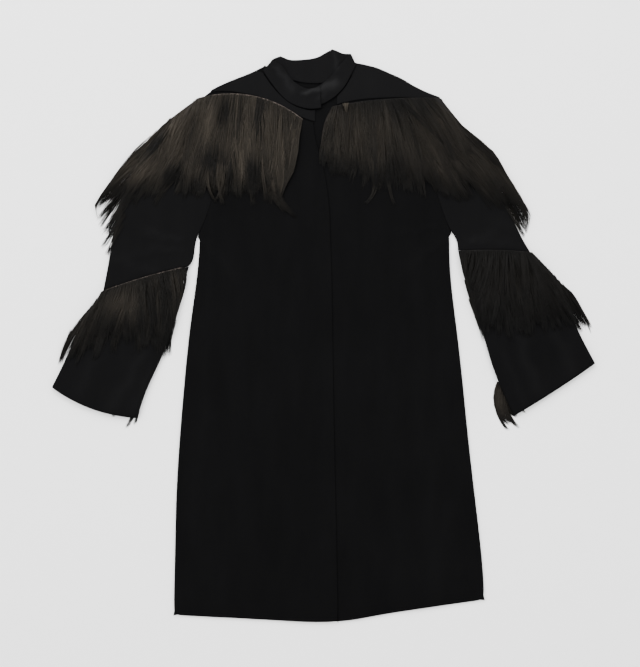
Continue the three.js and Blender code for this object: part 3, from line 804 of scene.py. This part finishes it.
def hair_lines(name, fur, chance, count):
    """Every hair of one fur piece as a line of points, with its tones and width."""
    table, hang, outward = fur["table"], fur["hang"], fur["outward"]
    locks = fur["locks"]
    lock_row, lock_across = scatter(table, fur["rows"], locks, chance, 0.12)
    lock_root = fur_place(table, lock_row, lock_across)
    row, across = scatter(table, fur["rows"], count, chance, 0.2)
    root = fur_place(table, row, across)
    mine = ((root[:, None, :] - lock_root[None]) ** 2).sum(-1).argmin(1)

    def path(place, turn, bend, scale):
        degrees = np.interp(place[:, 0] / MM, hang[:, 0], hang[:, 1])
        start = hang_direction(outward, degrees + turn)
        far = np.clip(to_tips(hang, place, start), fur["least"] * MM, fur["most"] * MM)
        end = hang_direction(outward, degrees * (1 - fur["drop"]) + turn + bend)
        s = ALONG[None, :, None]
        reach = (far * scale)[:, None, None]
        return place[:, None] + reach * (s * start[:, None] + s**2 / 2 * (end - start)[:, None])

    turn = chance.normal(0, fur["spread"], locks)
    bend = chance.normal(0, 11, locks)
    scale = 0.74 + 0.38 * chance.random(locks)
    lock_path = path(lock_root, turn, bend, scale)
    own_scale = scale[mine] * (0.84 + 0.2 * chance.random(count))
    own_turn = turn[mine] + chance.normal(0, 2.2, count)
    own = path(root, own_turn, bend[mine], own_scale)
    s = ALONG[None, :, None]
    pull = (0.35 + 0.6 * chance.random(count))[:, None, None] * s**1.7
    lines = own * (1 - pull) + lock_path[mine] * pull
    aside = np.stack([-(own[:, -1] - own[:, 0])[:, 1], (own[:, -1] - own[:, 0])[:, 0]], -1)
    wave = np.sin(s * (2 + 2.5 * chance.random((count, 1, 1))) + 6.3 * chance.random((count, 1, 1)))
    lines = hold_in(name, lines + unit(aside)[:, None] * wave * s * 1.3 * MM)

    x = lines[..., 0]
    y = lines[..., 1]
    left = y - np.interp(x / MM, hang[:, 0], hang[:, 2]) * MM
    full = smooth_step((left + 0.008) / 0.06)
    rise = smooth_step(ALONG[None] * 2.0 + 0.30)
    rank = 0.62 * chance.random(locks)[mine] + 0.38 * chance.random(count)
    pile = (1.0 + 7.4 * full) * rise * (0.1 + 0.9 * rank[:, None])
    z = bed_height(x, y) + (1.0 + pile) * MM
    own_tone = chance.normal(0, fur["vary"], locks)[mine] + chance.normal(0, fur["vary"] / 3, count)
    longer = chance.normal(0, 13 * MM, locks)[mine][:, None]
    # Painted shade: tone fades out towards the line of the tips, each lock at its own length, and drops
    # close under the seam.
    fade = smooth_step((left + 0.010 + longer) / (fur["fade"] * MM)) * seam_shade(fur, x, y)
    tone = fur["tone"] + own_tone[:, None] + tone_sheen_and_shade(name, x, y)
    tone = np.clip(tone, 0.03, 1) * (0.04 + 0.96 * fade)
    width = 0.42 + 0.85 * (1 - rank) * chance.random(count)
    return np.stack([x, y, z], -1), tone, width


# %% [markdown]
# ## Single locks, listed one by one
# Some locks are placed one by one. Those that stray past the sleeve's edge, below the
# chest and round the inner corner of each cuff make the outline of the fur, and others
# are given a high tone, a painted highlight on top of it. Each is a curve through three
# points, with a width at its root, a number of hairs and a tone.

# %% Locks that stray: root, middle and tip in mm, half width, hairs, tone, height, fan
STRAYS = {
    "fur_yoke_right": [
        ((-164, 366), (-156, 305), (-151, 248), 3, 30, 0.66, 9.5, 2),
        ((-170, 340), (-164, 300), (-158, 262), 4, 24, 0.54, 9.0, 2),
        ((-146, 396), (-134, 366), (-130, 336), 3, 22, 0.66, 9.5, 2),
        ((-218, 414), (-222, 380), (-196, 340), 6, 36, 0.60, 9.5, 3),
        ((-206, 400), (-206, 370), (-176, 344), 5, 26, 0.56, 9.5, 3),
        ((-213, 302), (-210, 270), (-196, 243), 3, 24, 0.46, 8.0, 2),
        ((-184, 302), (-188, 270), (-203, 243), 3, 20, 0.42, 8.0, 2),
        ((-196, 300), (-190, 262), (-182, 238), 4, 20, 0.36, 8.0, 3),
        ((-294, 350), (-304, 318), (-312, 284), 6, 30, 0.58, 9.0, 3),
        ((-272, 356), (-288, 326), (-300, 296), 4, 22, 0.54, 9.0, 3),
        ((-324, 324), (-336, 300), (-352, 276), 5, 26, 0.40, 8.0, 3),
        ((-90, 318), (-86, 280), (-80, 246), 8, 36, 0.40, 8.0, 4),
        ((-54, 380), (-60, 332), (-82, 286), 3, 26, 0.62, 8.0, 2),
        ((-232, 404), (-250, 366), (-262, 330), 5, 26, 0.60, 9.0, 3),
        ((-112, 306), (-108, 270), (-104, 244), 4, 20, 0.36, 8.0, 3),
        ((-86, 296), (-82, 256), (-44, 212), 7, 40, 0.20, 3.0, 3),
        ((-92, 290), (-88, 252), (-60, 222), 8, 36, 0.20, 2.8, 4),
        ((-84, 300), (-84, 262), (-68, 230), 8, 36, 0.22, 3.0, 4),
        ((-136, 300), (-134, 262), (-128, 236), 5, 18, 0.22, 2.6, 3),
        ((-180, 296), (-186, 262), (-186, 242), 5, 16, 0.24, 2.6, 3),
        ((-104, 306), (-98, 262), (-96, 238), 6, 18, 0.18, 2.6, 3),
        ((-352, 292), (-388, 260), (-418, 240), 6, 26, 0.05, 1.8, 3),
        ((-346, 282), (-384, 248), (-419, 211), 7, 30, 0.05, 1.8, 3),
        ((-356, 270), (-388, 234), (-414, 195), 6, 24, 0.04, 1.6, 3),
        ((-350, 262), (-382, 222), (-407, 184), 7, 30, 0.04, 1.6, 3),
        ((-362, 244), (-386, 208), (-397, 180), 6, 22, 0.04, 1.4, 3),
        ((-366, 226), (-390, 190), (-412, 161), 6, 22, 0.04, 1.4, 3),
        ((-370, 206), (-390, 166), (-398, 146), 6, 18, 0.06, 1.4, 3),
        ((-334, 304), (-368, 272), (-396, 248), 7, 30, 0.08, 2.0, 3),
        ((-300, 300), (-334, 264), (-352, 236), 9, 26, 0.10, 2.2, 5),
        ((-270, 300), (-300, 262), (-312, 236), 9, 24, 0.10, 2.2, 5),
    ],
    "fur_yoke_left": [
        ((41, 427), (42, 417), (44, 401), 6, 34, 0.95, 9.5, 1),
        ((176, 386), (204, 330), (246, 262), 7, 30, 0.34, 9.0, 4),
        ((156, 370), (176, 316), (214, 262), 6, 26, 0.28, 9.0, 4),
        ((104, 372), (110, 326), (106, 276), 5, 26, 0.32, 9.0, 3),
        ((12, 372), (12, 340), (26, 306), 3, 22, 0.34, 7.0, 2),
        ((236, 384), (268, 344), (302, 298), 6, 26, 0.26, 8.0, 3),
        ((66, 336), (76, 300), (70, 262), 6, 22, 0.14, 2.4, 3),
        ((94, 330), (104, 296), (100, 262), 6, 24, 0.22, 2.6, 3),
        ((118, 300), (124, 262), (134, 236), 5, 16, 0.12, 2.2, 2),
        ((96, 296), (92, 262), (74, 240), 6, 18, 0.16, 2.2, 3),
        ((160, 316), (172, 286), (178, 254), 6, 22, 0.18, 2.4, 3),
        ((22, 352), (26, 318), (42, 288), 6, 26, 0.42, 3.4, 4),
        ((4, 372), (6, 338), (20, 304), 5, 22, 0.34, 3.4, 3),
        ((292, 340), (316, 300), (332, 268), 8, 30, 0.20, 2.6, 4),
        ((264, 372), (298, 332), (336, 296), 6, 28, 0.26, 2.0, 2),
        ((294, 350), (322, 306), (352, 270), 6, 28, 0.20, 1.8, 2),
        ((304, 328), (336, 282), (364, 246), 6, 28, 0.16, 1.8, 2),
        ((312, 306), (344, 258), (376, 224), 6, 28, 0.14, 1.6, 2),
        ((320, 282), (350, 238), (374, 208), 6, 26, 0.12, 1.6, 2),
        ((328, 262), (354, 220), (372, 192), 6, 24, 0.12, 1.6, 2),
        ((338, 240), (356, 206), (372, 180), 6, 22, 0.10, 1.4, 2),
    ],
    "fur_band_right": [
        ((-276, 44), (-284, 4), (-298, -44), 5, 30, 0.16, 2.0, 4),
        ((-274, 30), (-281, -4), (-287, -40), 4, 20, 0.16, 2.0, 3),
        ((-330, 34), (-338, -2), (-336, -40), 7, 24, 0.12, 3.0, 5),
        ((-370, 26), (-382, -8), (-384, -38), 8, 24, 0.12, 3.0, 5),
        ((-300, 30), (-302, -6), (-296, -44), 7, 24, 0.12, 2.6, 5),
        ((-462, 10), (-476, -24), (-486, -52), 5, 18, 0.10, 1.6, 3),
        ((-343, -118), (-350, -146), (-366, -173), 5, 26, 0.10, 0.6, 2),
        ((-340, -112), (-342, -144), (-350, -166), 4, 20, 0.10, 0.6, 2),
        ((-378, -112), (-384, -138), (-389, -151), 5, 18, 0.10, 0.6, 2),
        ((-392, -110), (-398, -132), (-402, -145), 5, 14, 0.10, 0.6, 2),
    ],
    "fur_band_left": [
        ((262, 104), (276, 52), (294, 6), 4, 34, 0.10, 2.0, 2),
        ((270, 70), (283, 30), (297, -12), 4, 26, 0.10, 2.0, 2),
        ((448, 82), (473, 48), (494, 12), 5, 46, 0.10, 2.4, 1.5),
        ((442, 74), (466, 44), (487, 14), 6, 40, 0.09, 2.2, 1.5),
        ((436, 62), (460, 32), (478, 6), 6, 30, 0.08, 2.2, 1.5),
        ((323, -84), (317, -130), (343, -177), 3, 80, 0.26, 1.2, 1.4),
        ((327, -88), (322, -132), (341, -166), 5, 90, 0.38, 1.2, 2.2),
        ((332, -94), (329, -134), (349, -164), 6, 90, 0.40, 1.2, 2.4),
        ((337, -102), (337, -138), (361, -172), 6, 60, 0.26, 1.2, 1.8),
        ((330, -92), (325, -122), (340, -154), 6, 80, 0.36, 1.2, 2.6),
        ((336, -104), (334, -130), (348, -150), 6, 60, 0.28, 1.2, 2.2),
        ((352, -118), (362, -130), (374, -145), 4, 14, 0.10, 1.0, 1.2),
        ((338, -106), (342, -132), (355, -151), 6, 60, 0.26, 1.2, 1.4),
        ((342, -112), (347, -134), (357, -149), 5, 50, 0.20, 1.2, 1.2),
    ],
}


def stray_lines(strays, chance):
    """The locks placed by hand, as lines like those of the rest of the hair."""
    all_lines, all_tones, all_widths = [], [], []
    for root, middle, tip, half, count, tone, high, fan in strays:
        root, middle, tip = (np.array(p, float) for p in (root, middle, tip))
        s = ALONG[None, :, None]
        aside = unit(np.array([-(tip - root)[1], (tip - root)[0]]))
        offset = chance.uniform(-half, half, (count, 1, 1)) * (1 - s) ** 0.8
        offset = offset + chance.normal(0, fan, (count, 1, 1)) * s**2
        back = chance.random((count, 1, 1)) * 0.16
        t = s * (1 - back) + back * 0.2
        curve = (1 - t) ** 2 * root + 2 * t * (1 - t) * (middle * 2 - (root + tip) / 2) + t**2 * tip
        flat = (curve + offset * aside) * MM
        x, y = flat[..., 0], flat[..., 1]
        lie = high * (0.3 + 0.7 * chance.random((count, 1))) * smooth_step(1.2 - ALONG[None] * 0.8)
        over = bed_height(x, y) if high >= 1.4 else 0.0
        z = over + (0.5 + lie) * MM
        # Painted shade: each stray lock's tone fades towards its tip.
        fade = 1 - 0.75 * ALONG[None] ** 1.5
        all_lines.append(np.stack([x, y, z], -1))
        all_tones.append(np.clip(tone + chance.normal(0, 0.05, (count, 1)), 0.02, 1) * fade)
        all_widths.append(0.26 + 0.26 * chance.random(count))
    return np.concatenate(all_lines), np.concatenate(all_tones), np.concatenate(all_widths)


# %% [markdown]
# ## From lines to ribbons
# Geometry Nodes turns every line into a ribbon: three-sided, flat on top, full near
# the root and drawn out to a point. The flat top is what gives a lock of silky hair
# its long unbroken shine.

# %% The ribbon maker
def strand_tree():
    tree = bpy.data.node_groups.new("strands", "GeometryNodeTree")
    face = tree.interface
    face.new_socket("Lines", in_out="INPUT", socket_type="NodeSocketGeometry")
    face.new_socket("Half Width", in_out="INPUT", socket_type="NodeSocketFloat")
    face.new_socket("Sides", in_out="INPUT", socket_type="NodeSocketInt")
    face.new_socket("Strands", in_out="OUTPUT", socket_type="NodeSocketGeometry")
    add = tree.nodes.new
    link = tree.links.new
    start = add("NodeGroupInput")
    end = add("NodeGroupOutput")
    curves = add("GeometryNodeMeshToCurve")
    level = add("GeometryNodeSetCurveNormal")
    level.mode = "Z_UP"
    taper = add("GeometryNodeInputNamedAttribute")
    taper.data_type = "FLOAT"
    taper.inputs["Name"].default_value = "taper"
    section = add("GeometryNodeCurvePrimitiveCircle")
    index = add("GeometryNodeInputIndex")
    edge = add("ShaderNodeMath")
    edge.operation = "MULTIPLY"
    edge.inputs[1].default_value = 0.5
    marked = add("GeometryNodeStoreNamedAttribute")
    marked.data_type = "FLOAT"
    marked.domain = "POINT"
    marked.inputs["Name"].default_value = "across"
    flat = add("GeometryNodeTransform")
    flat.inputs["Rotation"].default_value = (0, 0, math.radians(RIBBON_TURN))
    squash = add("GeometryNodeTransform")
    squash.inputs["Scale"].default_value = (1.0, RIBBON_FLAT, 1.0)
    blade = add("GeometryNodeCurveToMesh")
    blade.inputs["Fill Caps"].default_value = True
    paint = add("GeometryNodeSetMaterial")
    paint.inputs["Material"].default_value = HAIR
    solid = add("GeometryNodeRealizeInstances")
    link(start.outputs["Lines"], curves.inputs["Mesh"])
    link(curves.outputs["Curve"], level.inputs["Curve"])
    link(start.outputs["Half Width"], section.inputs["Radius"])
    link(start.outputs["Sides"], section.inputs["Resolution"])
    link(index.outputs["Index"], edge.inputs[0])
    link(section.outputs["Curve"], marked.inputs["Geometry"])
    link(edge.outputs[0], marked.inputs["Value"])
    link(marked.outputs["Geometry"], flat.inputs["Geometry"])
    link(flat.outputs["Geometry"], squash.inputs["Geometry"])
    link(squash.outputs["Geometry"], blade.inputs["Profile Curve"])
    if "Scale" in blade.inputs:
        link(level.outputs["Curve"], blade.inputs["Curve"])
        link(taper.outputs["Attribute"], blade.inputs["Scale"])
    else:
        radius = add("GeometryNodeSetCurveRadius")
        link(level.outputs["Curve"], radius.inputs["Curve"])
        link(taper.outputs["Attribute"], radius.inputs["Radius"])
        link(radius.outputs["Curve"], blade.inputs["Curve"])
    link(blade.outputs["Mesh"], solid.inputs["Geometry"])
    link(solid.outputs["Geometry"], paint.inputs["Geometry"])
    link(paint.outputs["Geometry"], end.inputs["Strands"])
    return tree


RIBBON_TURN = 90.0
RIBBON_FLAT = 0.34
STRANDS = strand_tree()
TAPER = np.array([0.6, 0.95, 1.0, 0.98, 0.85, 0.55, 0.05])


def lines_mesh(lines, tone, width, chance):
    """Lines as a mesh of edges that carries what each ribbon needs."""
    count = len(lines)
    mesh = bpy.data.meshes.new("lines")
    first = np.arange(count)[:, None] * POINTS + np.arange(POINTS - 1)[None]
    edges = np.stack([first, first + 1], -1).reshape(-1, 2)
    mesh.from_pydata(lines.reshape(-1, 3).tolist(), edges.tolist(), [])
    mark(mesh, {
        "taper": (width[:, None] * TAPER[None]).ravel(),
        "along": np.tile(ALONG, count),
        "tone": tone.ravel(),
        "own": np.repeat(chance.random(count), POINTS),
    })
    return mesh


def strands(name, parts, half_width, chance):
    """The hair of one fur piece as a plain mesh of ribbons."""
    lines, tone, width = (np.concatenate([p[k] for p in parts]) for k in range(3))
    guide = put(name + "_lines", lines_mesh(lines, tone, width, chance))
    maker = guide.modifiers.new("strands", "NODES")
    maker.node_group = STRANDS
    inputs = {s.name: s.identifier for s in STRANDS.interface.items_tree if s.in_out == "INPUT"}
    maker[inputs["Half Width"]] = half_width
    maker[inputs["Sides"]] = 3
    graph = bpy.context.evaluated_depsgraph_get()
    seen = guide.evaluated_get(graph)
    hair = bpy.data.meshes.new_from_object(
        seen, preserve_all_data_layers=True, depsgraph=graph)
    bpy.data.objects.remove(guide)
    whole = bmesh.new()
    whole.from_mesh(hair)
    if whole.calc_volume(signed=True) < 0:
        bmesh.ops.reverse_faces(whole, faces=whole.faces)
    whole.to_mesh(hair)
    whole.free()
    triangles = sum(len(f.vertices) - 2 for f in hair.polygons)
    print(name, "has", len(tone), "ribbons and", triangles, "triangles")
    return finish_piece(name, hair, HAIR)


# %% [markdown]
# ## The skins
# Under the hair lies the skin with its short under-fur, a low mound that fills the
# gaps between ribbons. It is one closed sheet, a little narrower than the hair's
# reach. Along its seam the cut edge shows as a thin, broken tan line.

# %% A skin on the cloth
def skin(node, rows, over, height=1.3, under=False):
    """A low, closed mound between two rows, on the cloth or under the cuff."""
    fur = FURS[node]
    table = fur["table"]
    chance = np.random.default_rng(fur["seed"] + 5)
    down_count, over_count = 34, 66
    down = rows[0] + (rows[1] - rows[0]) * np.linspace(0, 1, down_count) ** 1.5
    side = np.linspace(*over, over_count)
    grid_row, grid_side = np.meshgrid(down, side, indexing="ij")
    flat = fur_place(table, grid_row, grid_side)
    base = bed_height(flat[..., 0], flat[..., 1]) * (0 if under else 1)
    in_row = (grid_row - rows[0]) / (rows[1] - rows[0])
    in_side = (grid_side - over[0]) / (over[1] - over[0])
    rim = np.minimum.reduce([in_row * 5 + 0.05, (1 - in_row) * 4, in_side * 14, (1 - in_side) * 14])
    uneven = chance.random(flat.shape[:2]) * 0.5
    mound = np.sqrt(np.clip(rim, 0, 1)) * (height + uneven)
    top = np.concatenate([flat, (base + (0.7 + mound) * MM)[..., None]], -1)
    low = np.concatenate([flat, (base + 0.35 * MM)[..., None]], -1)
    size = down_count * over_count
    index = np.arange(size).reshape(down_count, over_count)
    quads = np.stack([index[:-1, :-1], index[:-1, 1:], index[1:, 1:], index[1:, :-1]], -1).reshape(-1, 4)
    faces = quads.tolist() + (quads[:, ::-1] + size).tolist()
    loop = [*index[0, :], *index[1:, -1], *index[-1, -2::-1], *index[-2:0:-1, 0]]
    for a, b in zip(loop, loop[1:] + loop[:1]):
        faces.append((b, a, a + size, b + size))
    mesh = bpy.data.meshes.new(node + "_skin")
    mesh.from_pydata(np.concatenate([top.reshape(-1, 3), low.reshape(-1, 3)]).tolist(), [], faces)
    x, y = flat[..., 0], flat[..., 1]
    x_mm = x / MM
    from_seam = (y[0:1] - y) / MM
    broken = 0.75 + 0.5 * np.sin(x_mm * 0.31) * np.sin(x_mm * 0.083 + 1.0)
    shown = (x_mm > fur["edge"][0]) & (x_mm < fur["edge"][1])
    edge = shown * np.clip(broken, 0, 1) * np.clip(fur["edge"][2] - from_seam, 0, 1)
    # Painted sheen and shade: the skin takes the hair's patches and the painted shade under the seam.
    tone = fur["tone"] * 0.9 + tone_sheen_and_shade(node, x, y)
    columns = {
        "cut_edge": edge * (0 if under else 1),
        "tone": np.clip(tone, 0.03, 1) * seam_shade(fur, x, y),
        "across": x_mm * 0.35,
        "along": y / MM * 0.012,
        "own": x * 0,
    }
    mark(mesh, {label: np.tile(values.ravel(), 2) for label, values in columns.items()})
    whole = bmesh.new()
    whole.from_mesh(mesh)
    bmesh.ops.recalc_face_normals(whole, faces=whole.faces)
    whole.to_mesh(mesh)
    whole.free()
    return mesh


# %% The four fur pieces
# Painted light in these settings: tone is partly painted sheen, higher on the pieces that shine most;
# fade is how far the painted sheen takes to die out towards the tips; top is the share of tone kept
# right under the seam, the rest painted shade; contrast scales the painted patches.
FURS = {
    "fur_yoke_right": dict(
        table=YOKE_RIGHT, hang=HANG_YOKE_RIGHT, outward=-1, rows=(0.0, 2.35), count=4300,
        locks=230, least=52, most=150, drop=0.12, spread=5, tone=0.41, vary=0.16, fade=44,
        top=0.85, uneven=0.07, contrast=1.4, seed=11, edge=(-205, -36, 2.4)),
    "fur_yoke_left": dict(
        table=YOKE_LEFT, hang=HANG_YOKE_LEFT, outward=1, rows=(0.0, 2.35), count=4400,
        locks=220, least=50, most=150, drop=0.12, spread=6, tone=0.23, vary=0.065, fade=70,
        top=0.4, uneven=0.05, contrast=1.1, seed=23, edge=(0, 0, 0)),
    "fur_band_right": dict(
        table=BAND_RIGHT, hang=HANG_BAND_RIGHT, outward=-1, rows=(0.0, 1.5), count=2700,
        locks=130, least=44, most=105, drop=0.3, spread=6, tone=0.14, vary=0.045, fade=84,
        top=0.5, uneven=0.03, contrast=1.3, seed=31, edge=(-400, -262, 2.2)),
    "fur_band_left": dict(
        table=BAND_LEFT, hang=HANG_BAND_LEFT, outward=1, rows=(0.0, 1.7), count=2700,
        locks=130, least=44, most=105, drop=0.15, spread=6, tone=0.03, vary=0.01, fade=90,
        top=0.5, uneven=0.01, contrast=1.0, seed=47, edge=(0, 0, 0)),
}
HALF_WIDTH = 0.0011


def joined(first, second):
    """Two meshes as one."""
    whole = bmesh.new()
    whole.from_mesh(first)
    whole.from_mesh(second)
    whole.to_mesh(first)
    whole.free()
    return first


def under_locks(fur):
    """Plain locks pressed flat between cuff and floor, where they are hidden."""
    across = np.linspace(0.14, 0.86, 8)
    ends = [fur_place(fur["table"], across * 0 + row, across) / MM for row in (2.0, 3.2, 4.3)]
    return [(*place, 9, 26, 0.12, 1.1, 4) for place in zip(*ends)]


furs = {}
for name, fur in FURS.items():
    chance = np.random.default_rng(fur["seed"])
    mesh = skin(name, (0.0, fur["rows"][1]), (0.03 if "band" in name else 0.0, 0.985))
    locks = STRAYS[name]
    if "band" in name:
        below = skin(name, (0.1, 2.4), (0.04, 0.96), 1.2, True)
        mesh = joined(mesh, below)
        locks = locks + under_locks(fur)
    furs[name] = finish_piece(name + "_skin", mesh, SKIN, (name,))
    parts = [hair_lines(name, fur, chance, fur["count"]), stray_lines(locks, chance)]
    furs[name + "_hair"] = strands(name + "_hair", parts, HALF_WIDTH, chance)

# %% [markdown]
# ## What each sheet was cut from
# Each piece is given a rectangle for its cut, and its area is measured on the piece
# itself; both are printed. Sleeves, cuffs and bands are tubes, so their width is
# given all round; the collar is a long band that goes round the neck and lies folded at
# both sides. A sheet may not state less than 0.3 of its rectangle. The right yoke is a slanting
# strip that covers less, so its stated area is larger than what it measures.

CUTS = {
    "sleeve_right": (0.53, 0.39),
    "sleeve_left": (0.50, 0.32),
    "cuff_right": (0.36, 0.30),
    "cuff_left": (0.36, 0.325),
    "collar": (0.41, 0.05),
    "fur_band_right": (0.33, 0.16),
    "fur_band_left": (0.33, 0.17),
}


LEAST_SHARE = 0.31


def declare(name, piece, extra=()):
    """Prints a sheet's measured and stated area. Half the area of a thin wall's faces is its cloth's
    area.
    """
    points = positions(piece.data)
    size = points.max(0) - points.min(0)
    width, length = CUTS.get(name, (float(size[0]), float(size[1])))
    whole = width * length
    measured = sum(f.area for f in piece.data.polygons) / 2
    stated = min(max(measured, LEAST_SHARE * whole), whole)
    print(piece.name, "measures", round(measured, 4), "and states", round(stated, 4))


for name, piece in cloth.items():
    declare(name, piece)
for name in FURS:
    declare(name, furs[name], [furs[name + "_hair"]])

# %% [markdown]
# ## Floor and light
# A plain pale floor and broad soft lamps, brightest from beyond the collar. They add a real
# shine to the hair, but its sheen along the upper half is mostly painted into its tone,
# while the wool stays dark.

# %% Floor
def floor_finish():
    pale = Finish("pale_floor")
    grain = pale.noise(20.0, 2.0)
    return pale.look(
        Base_Color=pale.mix((0.95, 0.95, 0.95, 1), (0.98, 0.98, 0.98, 1), grain), Roughness=0.8)


FLOOR = 6.0
FLOOR_DROP = -0.0002
floor_mesh = bpy.data.meshes.new("floor")
floor_mesh.from_pydata(
    [(x * FLOOR, y * FLOOR, FLOOR_DROP) for x, y in ((-1, -1), (1, -1), (1, 1), (-1, 1))],
    [], [(0, 1, 2, 3)])
floor_mesh.materials.append(floor_finish())
floor = put("floor", floor_mesh)

# %% Lamps
LAMPS = {
    "collar_side": ((-0.3, 2.2, 2.4), 3.0, 190.0),
    "left_side": ((-2.4, 0.4, 2.6), 2.5, 90.0),
    "right_side": ((2.4, -0.2, 2.6), 2.5, 65.0),
}
for name, (place, size, power) in LAMPS.items():
    lamp = bpy.data.lights.new(name, "AREA")
    lamp.size = size
    lamp.energy = power
    holder = put(name, lamp)
    holder.location = place
    aim = Vector((0, 0.1, 0)) - Vector(place)
    holder.rotation_euler = aim.to_track_quat("-Z", "Y").to_euler()
world = bpy.data.worlds.new("studio")
world.use_nodes = True
world.node_tree.nodes["Background"].inputs["Color"].default_value = (1, 1, 1, 1)
world.node_tree.nodes["Background"].inputs["Strength"].default_value = 1.25
bpy.context.scene.world = world
